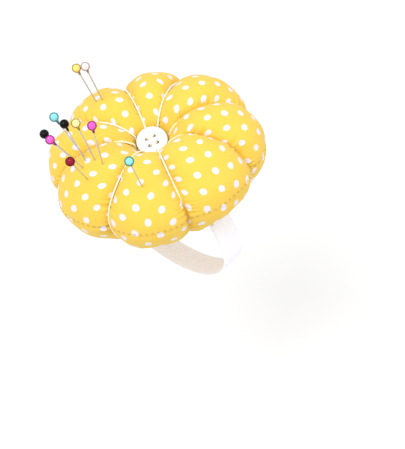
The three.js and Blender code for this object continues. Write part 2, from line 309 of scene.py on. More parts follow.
def cotton_look():
    """Yellow plain-weave cotton with a print of white dots, laid out in fabric millimetres."""
    look = Look("dotted_cotton")
    uv = look.add("ShaderNodeUVMap", uv_map="fabric").outputs[0]
    u, v, _ = look.split(uv)

    def from_dot(coordinate, shake):
        moved = look.math("ADD", coordinate, look.math("MULTIPLY", shake, DOT_SHAKE))
        turns = look.math("FRACT", look.math("DIVIDE", moved, DOT_PITCH))
        return look.math("MULTIPLY", look.math("SUBTRACT", turns, 0.5), DOT_PITCH)

    shake_u = look.math("SUBTRACT", look.noise(0.35, 1, vector=uv), 0.5)
    shake_v = look.math("SUBTRACT", look.noise(0.29, 1, vector=uv), 0.5)
    across, down = from_dot(u, shake_u), from_dot(v, shake_v)
    ragged = look.math("SUBTRACT", look.noise(1.3, 2, vector=uv), 0.5)
    ragged = look.math("MULTIPLY", ragged, DOT_RAGGED)
    distance = look.math("SQRT", look.math("ADD", look.math("MULTIPLY", across, across),
                                           look.math("MULTIPLY", down, down)))
    dot = look.ramp(look.math("ADD", distance, ragged), DOT_R + DOT_EDGE, DOT_R - DOT_EDGE)

    warp = look.math("SINE", look.math("MULTIPLY", u, TAU / WEAVE_PITCH))
    weft = look.math("SINE", look.math("MULTIPLY", v, TAU / WEAVE_PITCH))
    weave = look.math("MULTIPLY", warp, weft)
    slub = look.noise(2.4, 3, vector=uv)
    mottle = look.ramp(look.noise(0.9, 3, 0.65, vector=uv), 0.35, 0.65)
    height = look.math("ADD", look.math("MULTIPLY", weave, 0.35), slub)

    patch = look.ramp(look.noise(0.1, 2, vector=uv), 0.35, 0.65)
    crease_shade = look.add("ShaderNodeAttribute", attribute_name="crease_shade").outputs["Fac"]
    yellow = look.mix(patch, (0.757, 0.51, 0.086), (0.757, 0.535, 0.10))
    yellow = look.mix(look.math("MULTIPLY", mottle, 0.7), yellow, (0.747, 0.482, 0.043))
    yellow = look.mix(look.ramp(slub, 0.3, 0.7, 0, 0.5), yellow, (0.747, 0.488, 0.045))
    # Painted shade: the crease value darkens the yellow and the white dots in the furrows, the
    # puckers' troughs and the well's gathers.
    yellow = look.mix(look.math("MULTIPLY", crease_shade, 0.55), yellow, (0.73, 0.405, 0.022))
    white = look.mix(look.math("MULTIPLY", crease_shade, 0.4), (0.71, 0.66, 0.73), (0.7, 0.6, 0.42))
    look.set(Base_Color=look.mix(dot, yellow, white), Roughness=0.85)
    look.set(Sheen_Weight=0.12, Sheen_Roughness=0.5, Specular_IOR_Level=0.2)
    look.bump(height, 0.00005, 0.5)
    return look.material


def thread_look(name, colour, deep):
    look = Look(name)
    fibre = look.noise(2600, 3, 0.6)
    shade = look.mix(look.ramp(fibre, 0.3, 0.7), deep, colour)
    look.set(Base_Color=shade, Roughness=0.7, Sheen_Weight=0.2, Specular_IOR_Level=0.3)
    look.bump(fibre, 0.00004, 0.5)
    return look.material


def elastic_look():
    """White knitted elastic, with tiny slanting loops along each rib."""
    look = Look("white_elastic")
    uv = look.add("ShaderNodeUVMap", uv_map="tape").outputs[0]
    along, across, _ = look.split(uv)
    swing = look.math("SINE", look.math("MULTIPLY", across, TAU / RIB_PITCH))
    loops = look.math("SINE", look.math("ADD", look.math("MULTIPLY", along, TAU / LOOP_PITCH),
                                        look.math("MULTIPLY", swing, 1.4)))
    height = look.math("ADD", look.math("MULTIPLY", loops, 0.5), look.noise(3, 3, vector=uv))
    # Painted shade: the colour is darker where the knit lies low, in the grooves between its
    # loops, and the noise adds random tone.
    colour = look.mix(look.ramp(height, -0.2, 1.2), (0.77, 0.75, 0.80), (0.94, 0.92, 0.95))
    look.set(Base_Color=colour, Roughness=0.8, Sheen_Weight=0.2, Specular_IOR_Level=0.3)
    look.bump(height, 0.00008, 0.6)
    return look.material


def button_look():
    look = Look("white_button")
    cloud = look.noise(260, 3)
    look.set(Base_Color=look.mix(look.ramp(cloud, 0.3, 0.7), (0.90, 0.88, 0.90),
                                 (0.95, 0.94, 0.95)))
    look.set(Roughness=look.ramp(cloud, 0.2, 0.8, 0.22, 0.36))
    look.set(Subsurface_Weight=0.2, Subsurface_Scale=0.001, Coat_Weight=0.3, Coat_Roughness=0.1)
    look.bump(look.noise(1700, 2), 0.00001, 0.2)
    return look.material


def steel_look():
    look = Look("pin_steel")
    scratch = look.noise(900, 3)
    look.set(Base_Color=look.mix(scratch, (0.46, 0.47, 0.56), (0.62, 0.63, 0.72)))
    look.set(Metallic=0.75, Roughness=look.ramp(scratch, 0.2, 0.8, 0.18, 0.32))
    return look.material


def bead_look(name, colour, clear):
    """Moulded plastic for a pin's head. A clear one takes its colour from its own depth."""
    look = Look(name)
    cloud = look.noise(420, 2)
    look.set(Roughness=look.ramp(cloud, 0.2, 0.8, 0.03, 0.08))
    look.set(Specular_IOR_Level=0.35 if clear else 0.12)
    if not clear:
        deep = tuple(c * 0.8 for c in colour)
        look.set(Base_Color=look.mix(look.ramp(cloud, 0.35, 0.7), deep, colour))
        return look.material
    look.set(Base_Color=colour, Alpha=BEAD_SKIN)
    depth = look.add("ShaderNodeVolumeAbsorption")
    depth.inputs["Color"].default_value = (*colour, 1)
    depth.inputs["Density"].default_value = BEAD_DENSITY
    output = look.tree.nodes["Material Output"]
    look.tree.links.new(depth.outputs[0], output.inputs["Volume"])
    return look.material


def glowing_core_look(name, colour):
    """The pale core inside a clear head. It glows in its own colour: painted light for the light
    that passes through the head.
    """
    look = Look(name)
    cloud = look.noise(900, 2)
    deep = tuple(c * 0.85 for c in colour)
    look.set(Base_Color=look.mix(look.ramp(cloud, 0.35, 0.7), deep, colour), Roughness=0.3)
    # Painted light: the core glows though it is no lamp.
    look.set(Emission_Color=colour, Emission_Strength=0.65)
    return look.material


def fibre_look():
    look = Look("polyester_fibre")
    tuft = look.noise(700, 5, 0.7)
    look.set(Base_Color=look.mix(tuft, (0.76, 0.75, 0.70), (0.94, 0.93, 0.90)), Roughness=0.95)
    look.bump(tuft, 0.0006)
    return look.material


def card_look():
    look = Look("base_sheet")
    grain = look.noise(900, 4)
    look.set(Base_Color=look.mix(grain, (0.72, 0.69, 0.62), (0.84, 0.81, 0.76)), Roughness=0.55)
    look.bump(grain, 0.0001)
    return look.material


COTTON = cotton_look()
WHITE_THREAD = thread_look("white_thread", (0.95, 0.92, 0.80), (0.82, 0.76, 0.58))
YELLOW_THREAD = thread_look("yellow_thread", (0.66, 0.44, 0.09), (0.34, 0.19, 0.03))
ELASTIC = elastic_look()
BUTTON = button_look()
STEEL = steel_look()
FIBRE = fibre_look()
CARD = card_look()


# ---- Form of the cushion --------------------------------------------------------------------

# Angles of the eight furrows about Z, as in the CAD part.
FURROW_DEG = [-24, 23, 62, 110, 147, 198, 238, 286]
# How far each furrow swings aside on top of the cushion and at its waist, in degrees.
FURROW_BEND = [(0, -3), (0, 0), (0, 0), (0, 0), (2, 0), (0.5, -3), (0.5, 3), (5.5, 5)]
# The outlines of a lobe's crest and of a furrow, in mm: radius at the waist, radius and height
# of the top, height of the hem, radius of the well.
CREST = (50, 22.5, 41, 0.5, 6.7)
FURROW = (42.6, 21.5, 36.2, 1.6, 7.1)
WAIST_Z = 21
WELL_Z = 26.8
WELL_SLOPE = 1.35      # above 1 the fabric slopes down to the button instead of dropping
HEM_R = 28.8
TUCK = 1.2             # above 1 the low half of a lobe is drawn in towards the hem
LOBE_POWER = 2.15      # 2 is a round lobe, and more is a fuller one
SEAM_ALPHA = math.radians(-6)

BUTTON_LEAN_TO = math.radians(-127)
BUTTON_PRESS = 3.4     # mm that the lobes under the button's low side are pressed down
LOW_LIFT = [0, 0, 0, 0, 3.4, 4.4, 6.4, 1.0]     # mm that the low half of each lobe is drawn up
LOW_TUCK = [0, 0, 0, 0, 1.0, 2.0, 4.2, 1.0]     # and in, below the running stitch

LOBE_COLUMNS = 36
ROWS = 84
EVEN_SPREAD = 0.65     # share of the columns that is spread evenly: the rest crowd the furrows

# Turn of the print on each lobe, in degrees, and its shift both ways as a share of the pitch.
# These rows were not chosen by hand: another program fitted them to the real print, and they
# are rounded from its output.
PRINT_SLIP = [
    (-1, -0.05, 0.25), (-2, 0.15, -0.2), (-1, -0.4, 0.1), (-18, -0.35, 0.4),
    (-9, -0.05, -0.45), (7, 0.45, 0), (-2, -0.05, -0.15), (-5, 0.25, 0),
]
PRINT_TURN = 64


def furrow_angle(furrow, alpha):
    """Angle about Z of a furrow, at a height given as in profile()."""
    turns, furrow = divmod(furrow, 8)
    top, low = FURROW_BEND[furrow]
    aside = top * swell(-alpha, -math.pi, -math.pi / 2)
    aside = aside + (low - top) * swell(-alpha, -math.pi / 2, 0)
    return np.radians(FURROW_DEG[furrow] + 360 * turns + aside)


def lobe_ends(lobe):
    """Angles of a lobe's two furrows, in degrees."""
    return FURROW_DEG[lobe], FURROW_DEG[lobe + 1] if lobe < 7 else FURROW_DEG[0] + 360


def profile(alpha, waist_r, top_r, top_z, hem_z, well_r):
    """Radius and height up a lobe: pi is the well, pi/2 the top, 0 the waist, -pi/2 the hem."""
    c, s = np.cos(alpha), np.sin(alpha)
    inner, low = c < 0, s < 0
    r = np.where(low, HEM_R + (waist_r - HEM_R) * np.abs(c) ** TUCK,
                 top_r + np.where(inner, top_r - well_r, waist_r - top_r) * c)
    z = np.where(low, WAIST_Z + (WAIST_Z - hem_z) * s,
                 np.where(inner, WELL_Z + (top_z - WELL_Z) * np.abs(s) ** WELL_SLOPE,
                          WAIST_Z + (top_z - WAIST_Z) * s))
    return r, z


def hump(value, start, full_from, full_to, end):
    """0 before start and after end, 1 between full_from and full_to, smooth between."""
    return swell(value, start, full_from) * (1 - swell(value, full_to, end))


def skin_grid(rows=ROWS, lobe_columns=LOBE_COLUMNS, fullness=1.0):
    """Points of the skin as [row, column, xyz], each column's lobe and place across it, and
    each row's place up the lobe. Fullness is how far the lobes stand out of the furrows."""
    alphas = np.linspace(math.pi, -math.pi / 2, rows)
    steps = np.linspace(-1, 1, lobe_columns, endpoint=False)
    steps = (1 - EVEN_SPREAD) * np.sin(steps * math.pi / 2) + EVEN_SPREAD * steps
    across = np.tile(steps, 8)
    lobes = np.repeat(np.arange(8), lobe_columns)
    ends = np.stack([furrow_angle(furrow, alphas) for furrow in range(9)], axis=1)
    about = ends[:, lobes] + (across + 1) / 2 * (ends[:, lobes + 1] - ends[:, lobes])
    bulge = fullness * (1 - np.abs(across) ** LOBE_POWER) ** (1 / LOBE_POWER)
    r, z = (furrow[:, None] + (crest - furrow)[:, None] * bulge
            for furrow, crest in zip(profile(alphas, *FURROW), profile(alphas, *CREST)))
    raised = hump(-alphas, -0.5, 0.5, 0.9, 1.5)
    z = z + raised[:, None] * bulge * np.array(LOW_LIFT)[lobes]
    tucked = hump(-alphas, 0, 0.8, 0.9, 1.55)
    r = r - tucked[:, None] * bulge * np.array(LOW_TUCK)[lobes]
    pressed = hump(alphas, 1.7, 2.45, 2.75, math.pi)
    facing = np.maximum(0, np.cos(about - BUTTON_LEAN_TO)) ** 2
    z = z - BUTTON_PRESS * pressed[:, None] * bulge * facing
    return np.stack([r * np.cos(about), r * np.sin(about), z], axis=-1), lobes, across, alphas


def fabric_places(points, lobes, across):
    """Where the skin lay on the flat round of fabric, in mm: each column's own place, and
    that of the next column as its lobe sees it.

    The round was drawn over the filling, so its distance from the middle is the way up a
    lobe's crest, and what is spare between two lobes is tucked into the furrow.
    """
    rows, columns, _ = points.shape
    places = np.zeros((rows, columns, 2, 2))
    for lobe in range(8):
        members = np.flatnonzero(lobes == lobe)
        strip = points[:, np.append(members, (members[-1] + 1) % columns)]
        crest = int(np.argmin(np.abs(across[members])))
        steps = np.linalg.norm(np.diff(strip[:, crest], axis=0), axis=1)
        out = np.hypot(*strip[0, crest, :2]) + np.concatenate([[0], np.cumsum(steps)])
        steps = np.linalg.norm(np.diff(strip, axis=1), axis=2)
        side = np.concatenate([np.zeros((rows, 1)), np.cumsum(steps, axis=1)], axis=1)
        side -= side[:, crest:crest + 1]
        turn, slip_u, slip_v = PRINT_SLIP[lobe]
        heading = math.radians(sum(lobe_ends(lobe)) / 2 - PRINT_TURN - turn)
        u = out[:, None] * math.cos(heading) - side * math.sin(heading)
        v = out[:, None] * math.sin(heading) + side * math.cos(heading)
        both = np.stack([u + (0.5 - slip_u) * DOT_PITCH, v + (0.5 - slip_v) * DOT_PITCH], axis=-1)
        places[:, members, 0] = both[:, :-1]
        places[:, members, 1] = both[:, 1:]
    return places


def closed_skin(name, grid, *materials):
    """A mesh of the skin: the grid of rings, closed in the well and under the base."""
    rows, columns, _ = grid.shape
    skin, faces = capped(grid.reshape(-1, 3), grid_faces(rows, columns), rows, columns)
    return new_object(name, skin, [face[::-1] for face in faces], *materials)


def lay_fabric(cover, places):
    """Gives the skin its place on the flat fabric, corner by corner."""
    rows, columns = places.shape[:2]
    own, following = places[:, :, 0], places[:, :, 1]
    quads = np.stack([own[1:], following[1:], following[:-1], own[:-1]], axis=2).reshape(-1, 2)
    top = np.stack([own[0], following[0], own[0]], axis=1)
    low = np.stack([following[-1], own[-1], own[-1]], axis=1)
    fans = np.stack([top, low], axis=1).reshape(-1, 2)
    values = np.concatenate([quads, fans])
    cover.data.uv_layers.new(name="fabric").data.foreach_set("uv", values.ravel())


def doubled(grid):
    """The grid with a new row and column between each two, on smooth curves."""
    wrapped = [np.roll(grid, k, axis=1) for k in (1, 0, -1, -2)]
    between = (-wrapped[0] + 9 * wrapped[1] + 9 * wrapped[2] - wrapped[3]) / 16
    wide = np.stack([grid, between], axis=2).reshape(len(grid), -1, 3)
    ends = 2 * wide[0] - wide[1], 2 * wide[-1] - wide[-2]
    tall = np.concatenate([ends[0][None], wide, ends[1][None]])
    between = (-tall[:-3] + 9 * tall[1:-2] + 9 * tall[2:-1] - tall[3:]) / 16
    out = np.zeros((2 * len(grid) - 1, wide.shape[1], 3))
    out[::2] = wide
    out[1::2] = between
    return out


def grid_normals(grid):
    down = np.gradient(grid, axis=0)
    along = np.roll(grid, -1, axis=1) - np.roll(grid, 1, axis=1)
    return unit(np.cross(down, along))


SEAM_STITCHES = 118
PLEAT_COUNTS = (41, 67, 97)   # waves round the gathers, mixed so that no two pleats are alike
# Heights in mm of the soft lumps, of the short folds beside the furrows, of the gathers in the
# well and under the base, and depths of the line of running stitch and of its own ripple.
LUMP = 0.4
PUCKER = 0.45
WELL_GATHER = 0.35
HEM_GATHER = 0.7
SEAM_DENT = 0.3
SEAM_RIPPLE = 0.14
# Millimetres up a lobe for each radian of its place, round its whole way and near the waist.
LOBE_SCALE = 34
WAIST_SCALE = 25


def mixed_waves(about, counts, phases):
    return sum(np.sin(n * about + p) for n, p in zip(counts, phases)) / len(counts)


def detail_skin(grid, across, alphas):
    """Fine form of the skin: puckers, gathers, the dents of the stitches and soft lumps.

    Also gives how deep in a crease each point lies, for painted shade that darkens the colour
    there."""
    edge = np.abs(across)[None]
    alpha = alphas[:, None]
    about = np.arctan2(grid[..., 1], grid[..., 0])
    phases = rng.uniform(0, TAU, 12)

    free = 1 - swell(edge, 0.96, 1.0)
    lumps = (np.sin(grid @ (0.21, 0.11, 0.17) + phases[0]) * np.sin(grid @ (-0.13, 0.2, 0.1)))
    move = LUMP * lumps * free

    furrow_side = swell(edge, 0.62, 0.9) * free
    along = alpha * LOBE_SCALE
    uneven = 0.5 + 0.5 * np.sin(along * 0.23 + 3 * about + phases[1])
    ripple = np.sin(along * 1.5 + 2.2 * np.sin(along * 0.31 + 5 * about) + 9 * about + phases[2])
    fold = ripple * np.abs(ripple) * uneven * furrow_side * PUCKER
    move += fold

    into_well = swell(alpha, 2.3, 3.1)
    move += WELL_GATHER * into_well * mixed_waves(about, PLEAT_COUNTS, phases[3:6])
    under = swell(-alpha, math.radians(40), math.pi / 2)
    move += HEM_GATHER * under * mixed_waves(about, PLEAT_COUNTS, phases[6:9])

    from_seam = (alpha - SEAM_ALPHA) * WAIST_SCALE
    move -= SEAM_DENT * np.exp(-(from_seam / 0.8) ** 2)
    move += SEAM_RIPPLE * np.cos(about * SEAM_STITCHES) * np.exp(-(from_seam / 1.8) ** 2)

    # Painted shade: how far the colour is darkened along the furrows and in the troughs of the
    # puckers and the well's gathers.
    crease_shade = swell(edge, 0.92, 1.0) ** 2 + 1.3 * np.maximum(0, -fold)
    crease_shade += 0.6 * into_well * np.maximum(0, -move)
    return grid + grid_normals(grid) * move[..., None], crease_shade


SIM_SCALE = 10         # cloth behaves at the size of a big cushion
SIM_FRAMES = 12
SIM_PRESSURE = 1000
SLACK = 0.76           # fullness of the lobes before the filling presses them out
SIM_CAP = 4.0          # mm that a point may move
SIM_FADE = (1.8, 2.5)  # places up a lobe between which the move dies out, beside the button


def stretch_skin(grid):
    """Cloth simulation: the threads and seams hold, and the filling presses the skin out."""
    rows, columns, _ = grid.shape
    cover = closed_skin("pressed", grid * SIM_SCALE)
    numbers = np.arange(rows * columns).reshape(rows, columns)
    held = [*numbers[0], *numbers[-1], *numbers[:, ::LOBE_COLUMNS].ravel()]
    held += [rows * columns, rows * columns + 1]
    cover.vertex_groups.new(name="held").add([int(n) for n in held], 1.0, "REPLACE")
    cloth = cover.modifiers.new("cloth", "CLOTH").settings
    cloth.vertex_group_mass = "held"
    cloth.use_pressure = True
    cloth.uniform_pressure_force = SIM_PRESSURE
    cloth.shear_stiffness = 2
    cloth.bending_stiffness = 0.05
    cloth.effector_weights.gravity = 0
    scene = bpy.context.scene
    for frame_number in range(1, SIM_FRAMES + 1):
        scene.frame_set(frame_number)
    pressed = cover.evaluated_get(bpy.context.evaluated_depsgraph_get()).data
    move = coordinates(pressed)[:-2].reshape(grid.shape) / SIM_SCALE - grid
    bpy.data.objects.remove(cover)
    scene.frame_set(1)
    alphas = np.linspace(math.pi, -math.pi / 2, rows)
    move *= 1 - swell(alphas, *SIM_FADE)[:, None, None]
    far = np.linalg.norm(move, axis=-1, keepdims=True)
    return grid + move * np.minimum(1, SIM_CAP / np.maximum(far, 1e-6))


# ---- Threads --------------------------------------------------------------------------------

THREAD_R = 0.41
THREAD_LAY = 2.6       # mm along the thread for one turn of its plies
# From each furrow's bottom to its thread's middle, in mm, in the well, on top and at the waist:
# some threads were pulled in until the lobes closed over them.
THREAD_LIFT = [(0.1, -0.5, -0.5), (1.15, 1.15, 0.6), (1.15, 1.15, 1.0), (1.15, 1.15, 0.0),
               (1.15, 0.5, -0.2), (1.0, 1.05, 1.0), (1.15, 0.95, -1.0), (0.7, -0.3, -0.4)]
SEAM_THREAD_R = 0.16
DASH_HALF = 0.31       # half the length of a running stitch, as a share of the pitch
DASH_POINTS = 9
DASH_RISE = 0.14       # mm that its middle stands above the fabric
DASH_DIVE = 0.75       # mm that its ends go down from there


def furrow_thread_path(furrow, lifts):
    """From under the button, round its rim, over the top and down the furrow to the hem."""
    alphas = np.radians(np.arange(150, -89, -6))
    r, z = profile(alphas, *FURROW)
    step = 0.01
    r_after, z_after = profile(alphas + step, *FURROW)
    normal = unit(np.stack([z_after - z, r - r_after], axis=1))
    lift = np.interp(np.degrees(-alphas), (-120, -75, 0), lifts)
    line = np.stack([r, z], axis=1) + normal * lift[:, None]
    under_button = [(2.4, WELL_Z + 0.3), (5.8, WELL_Z + 0.4), (7.4, WELL_Z + 1.2)]
    line = np.vstack([*under_button, line])
    about = furrow_angle(furrow, np.concatenate([np.full(len(under_button), math.pi), alphas]))
    return [(x * math.cos(a), x * math.sin(a), y) for (x, y), a in zip(line, about)]


def make_furrow_threads():
    for i, lifts in enumerate(THREAD_LIFT, 1):
        path = resample(furrow_thread_path(i - 1, lifts), 0.45)
        points, faces = sweep(path, THREAD_R, sides=15, plies=3, lay=THREAD_LAY)
        thread = new_object(f"furrow_thread_{i}", points, faces, WHITE_THREAD)
        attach(thread, "root")
        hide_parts(f"wrap_thread_{i}")


def surface_of(cover):
    mesh = cover.data
    return BVHTree.FromPolygons([v.co / MM for v in mesh.vertices],
                                [p.vertices[:] for p in mesh.polygons])


def make_running_stitches(surface, seam):
    """Small stitches in yellow thread just below the waist, along the seam's line of points."""
    seam_angles = np.unwrap(np.arctan2(seam[:, 1], seam[:, 0]))
    pitch = TAU / SEAM_STITCHES
    pieces = []
    for k in range(SEAM_STITCHES):
        path = []
        for t in np.linspace(-DASH_HALF, DASH_HALF, DASH_POINTS):
            a = (k + 0.5 + t) * pitch
            out = Vector((math.cos(a), math.sin(a), 0))
            z = np.interp(a, seam_angles, seam[:, 2], period=TAU)
            hit, normal, _, _ = surface.ray_cast(out * 60 + Vector((0, 0, z)), -out)
            if hit is None:
                continue
            height = DASH_RISE - DASH_DIVE * (abs(t) / DASH_HALF) ** 4
            path.append(np.array(hit + normal * height))
        if len(path) == DASH_POINTS:
            pieces.append(sweep(resample(path, 0.18), SEAM_THREAD_R, sides=8, plies=2, lay=0.9))
    thread = new_object("running_stitches", *together(pieces), YELLOW_THREAD)
    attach(thread, "root")
    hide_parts("seam_thread")


# ---- Button ---------------------------------------------------------------------------------

BUTTON_R = 7
BUTTON_T = 2.6
BUTTON_WALL = 1.5      # width of its raised rim
BUTTON_DISH = 0.7      # depth of the hollow inside the rim
BUTTON_Z = 29.2        # its underside on the axis
BUTTON_TILT = math.radians(20)
BUTTON_TURN = math.radians(-26)
HOLE_R = 0.85
HOLE_PITCH = 3.6
STITCH_R = 0.14
STRAND_ASIDE = 0.22    # mm from the middle of a pair of holes to each strand between them


def seat_button(obj):
    """Puts a piece made about the button's own axis in its place on the cushion."""
    lean = Matrix.Rotation(BUTTON_TILT, 4, (-math.sin(BUTTON_LEAN_TO),
                                            math.cos(BUTTON_LEAN_TO), 0))
    turn = Matrix.Rotation(BUTTON_TURN, 4, "Z")
    obj.data.transform(Matrix.Translation((0, 0, BUTTON_Z * MM)) @ lean @ turn)
    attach(obj, "root")


def button_profile():
    """Half section from the middle of the underside round to the middle of the dish."""
    dish = BUTTON_T - BUTTON_DISH
    inner = BUTTON_R - BUTTON_WALL
    points = [(1, 0), (4, 0), (5.6, 0.05), (6.3, 0.25), (6.7, 0.65), (6.95, 1.1)]
    points += [(BUTTON_R, 1.5), (6.92, 1.95), (6.7, 2.3), (6.35, 2.52), (5.95, BUTTON_T)]
    points += [(5.6, 2.52), (inner - 0.15, 2.3), (inner - 0.5, 2.05), (inner - 0.95, dish + 0.04)]
    points += [(3.6, dish), (1, dish)]
    section = resample([(r, 0, z) for r, z in points], 0.28)
    return [(r, z) for r, _, z in section]


def hole_cutter(x, y):
    """A bore whose mouths flare, so that the hole's edges come out rounded."""
    flare = [(0.34, 0.0), (0.2, 0.04), (0.09, 0.13), (0.02, 0.27), (0, 0.45)]
    dish = BUTTON_T - BUTTON_DISH
    section = [(HOLE_R + 0.5, -0.4), (HOLE_R + 0.36, -0.02)]
    section += [(HOLE_R + more, depth) for more, depth in flare]
    section += [(HOLE_R + more, dish - depth) for more, depth in reversed(flare)]
    section += [(HOLE_R + 0.36, dish + 0.02), (HOLE_R + 0.5, dish + 0.6)]
    points, faces = lathe(section, 28)
    return np.array(points) + (x, y, 0), faces


def make_button():
    button = new_object("sewn_button", *lathe(button_profile(), 96), BUTTON)
    half = HOLE_PITCH / 2
    cutters = together([hole_cutter(x, y) for x in (-half, half) for y in (-half, half)])
    cutter = new_object("cutter", *cutters)
    cut = button.modifiers.new("holes", "BOOLEAN")
    cut.operation = "DIFFERENCE"
    cut.object = cutter
    apply_modifiers(button)
    bpy.data.objects.remove(cutter)
    seat_button(button)
    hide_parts("button")


def make_button_stitches():
    """Two strands side by side across each pair of holes."""
    top = BUTTON_T - BUTTON_DISH + STITCH_R
    half = HOLE_PITCH / 2
    for i, row in enumerate((-half, half), 1):
        strands = []
        for side in (-STRAND_ASIDE, STRAND_ASIDE):
            path = [(-half, side, 0.3), (-half + 0.05, side, top - 0.9),
                    (-half + 0.4, side, top - 0.1), (0, side * 1.15, top + 0.12),
                    (half - 0.4, side, top - 0.1), (half - 0.05, side, top - 0.9),
                    (half, side, 0.3)]
            path = resample(np.add(path, (0, row, 0)), 0.16)
            strands.append(sweep(path, STITCH_R, sides=12, plies=3, lay=1.5))
        stitch = new_object(f"button_thread_{i}", *together(strands), WHITE_THREAD)
        seat_button(stitch)
        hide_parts(f"button_stitch_{i}")


# ---- Pins -----------------------------------------------------------------------------------

# Millimetres, measured from the middle of the head, with the pin's own axis as Z.
PIN_LENGTH = 38
PIN_R = 0.3
PIN_POINT = 2.5        # length of the tapered end
HEAD_R = 2
CORE_R = 1.5
COLLAR_END = 4.2
SHAFT_TOP = -0.9       # where the CAD shaft ends, inside the head

# The slot of each pin's head, its colour (in depth, if it is clear) and that of its core.
HEADS = [
    ("head_yellow", (0.92, 0.60, 0.05), (1.0, 0.90, 0.32)),
    ("head_blush", (0.92, 0.66, 0.62), (1.0, 0.88, 0.86)),
    ("head_cyan", (0.04, 0.48, 0.53), (0.50, 0.97, 1.0)),
    ("head_black", (0.004, 0.004, 0.005), None),
    ("head_cream", (0.86, 0.70, 0.16), (1.0, 0.95, 0.55)),
    ("head_magenta", (0.62, 0.01, 0.40), (1.0, 0.22, 0.80)),
    ("head_black", (0.004, 0.004, 0.005), None),
    ("head_magenta", (0.62, 0.01, 0.40), (1.0, 0.22, 0.80)),
    ("head_wine", (0.16, 0.002, 0.015), (0.52, 0.01, 0.05)),
    ("head_cyan", (0.04, 0.48, 0.53), (0.50, 0.97, 1.0)),
]


def ball_profile(radius, start, end, step):
    return [(radius * math.cos(a), radius * math.sin(a))
            for a in np.radians(np.arange(start, end, -step))]


def head_profile():
    """A ball that runs into a tapered collar round the wire."""
    collar = [(0.62, -2.0), (0.60, -2.4), (0.55, -3.1), (0.47, -3.8),
              (0.42, -COLLAR_END + 0.12), (0.36, -COLLAR_END), (0.28, -COLLAR_END + 0.03)]
    return ball_profile(HEAD_R, 89, -73, 5) + collar


def make_head(i, colour, core):
    """The head, and the pale core that shows through it if it is clear."""
    look = bead_look(f"bead_{i}", colour, core is not None)
    ball = lathe(head_profile(), 48)
    if core is None:
        return new_object(f"pin_ball_{i}", *ball, look)
    inside = lathe(ball_profile(CORE_R, 88, -89, 8), 32)
    glowing_core = glowing_core_look(f"core_{i}", core)
    head = new_object(f"pin_ball_{i}", *together([ball, inside]), look, glowing_core)
    for polygon in head.data.polygons[len(ball[1]):]:
        polygon.material_index = 1
    return head


def shaft_profile():
    taper = [(PIN_R * (1 - (1 - t) ** 1.6) + 0.015, -PIN_LENGTH + PIN_POINT * t)
             for t in np.linspace(0, 1, 7)]
    return taper + [(PIN_R, -30), (PIN_R, -20), (PIN_R, -10), (PIN_R, -4), (PIN_R, SHAFT_TOP)]


def make_pins():
    axes = {joint["child"]: Vector(joint["axis"]) for joint in frame["joints"]}
    half = (PIN_LENGTH + SHAFT_TOP) / 2
    for i, (slot, colour, core) in enumerate(HEADS, 1):
        body = f"pin_{i}"
        low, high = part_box(f"pin_shaft_{i}")
        axis = axes[body].normalized()
        ball = (low + high) / 2 + axis * (half - SHAFT_TOP) * MM
        place = Matrix.Translation(ball) @ axis.to_track_quat("Z", "Y").to_matrix().to_4x4()
        head = make_head(i, colour, core)
        shaft = new_object(f"pin_wire_{i}", *lathe(shaft_profile(), 16), STEEL)
        for piece, node, its_slot in ((head, "pin_head", slot), (shaft, "pin_shaft", "pin_steel")):
            piece.data.transform(place)
            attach(piece, body)
            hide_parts(f"{node}_{i}")


# ---- Wristband ------------------------------------------------------------------------------

BAND_W = 12
BAND_T = 1.1
# The band's line is two half ellipses of one width, the upper cut off at the hem.
BAND_HALF = 36.6       # half their width
BAND_MID_Z = -19       # where they meet
BAND_RISE = 34
BAND_DROP = 26.5
BAND_TOP_Z = 0.15
BAND_STEP = 0.8        # mm along the band from one row of points to the next
RIBS = 12
RIB_H = 0.14
BAND_RIPPLE = 0.05     # share of its thickness that the band varies along its length


def band_line():
    """Middle line of the band, from the hem on the far side round under the wrist."""
    start = math.asin((BAND_TOP_Z - BAND_MID_Z) / BAND_RISE)
    line = []
    for t in np.linspace(start, -math.pi - start, 90):
        high = BAND_RISE if math.sin(t) > 0 else BAND_DROP
        line.append((0, BAND_HALF * math.cos(t), BAND_MID_Z + high * math.sin(t)))
    return resample(line, BAND_STEP)


def band_section():
    """Half widths across the tape and thickness there, with a rib for each rubber cord."""
    across = np.linspace(-1, 1, RIBS * 6 + 1)
    rib = np.abs(np.cos(across * RIBS * math.pi / 2))
    edge = np.sqrt(1 - np.clip((np.abs(across) - 0.94) / 0.06, 0, 0.96) ** 2)
    thick = (BAND_T / 2 - RIB_H + RIB_H * rib) * edge
    side = across * BAND_W / 2
    return np.concatenate([side, side[::-1]]), np.concatenate([thick, -thick[::-1]])


def make_band():
    line = band_line()
    tangents = unit(np.gradient(line, axis=0))
    outward = np.stack([0 * tangents[:, 0], -tangents[:, 2], tangents[:, 1]], axis=1)
    side, thick = band_section()
    rings, tape = [], []
    for i, point in enumerate(line):
        ripple = 1 + BAND_RIPPLE * math.sin(i * 2.1)
        for x, t in zip(side, thick):
            rings.append(point + (x, 0, 0) + outward[i] * t * ripple)
            tape.append((i * BAND_STEP, x))
    points, faces = capped(rings, grid_faces(len(line), len(side)), len(line), len(side))
    tape += [tape[0], tape[-1]]
    band = new_object("elastic_band", points, faces, ELASTIC)
    values = [tape[v] for polygon in band.data.polygons for v in polygon.vertices]
    band.data.uv_layers.new(name="tape").data.foreach_set("uv", np.ravel(values))
    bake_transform(band)
    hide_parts("band_strap_far", "band_strap_near", "band_loop")


TACK_STITCHES = 34
TACK_EDGE = 0.4        # mm from the CAD tack's ends to the first and last stitch
TACK_THREAD_R = 0.17


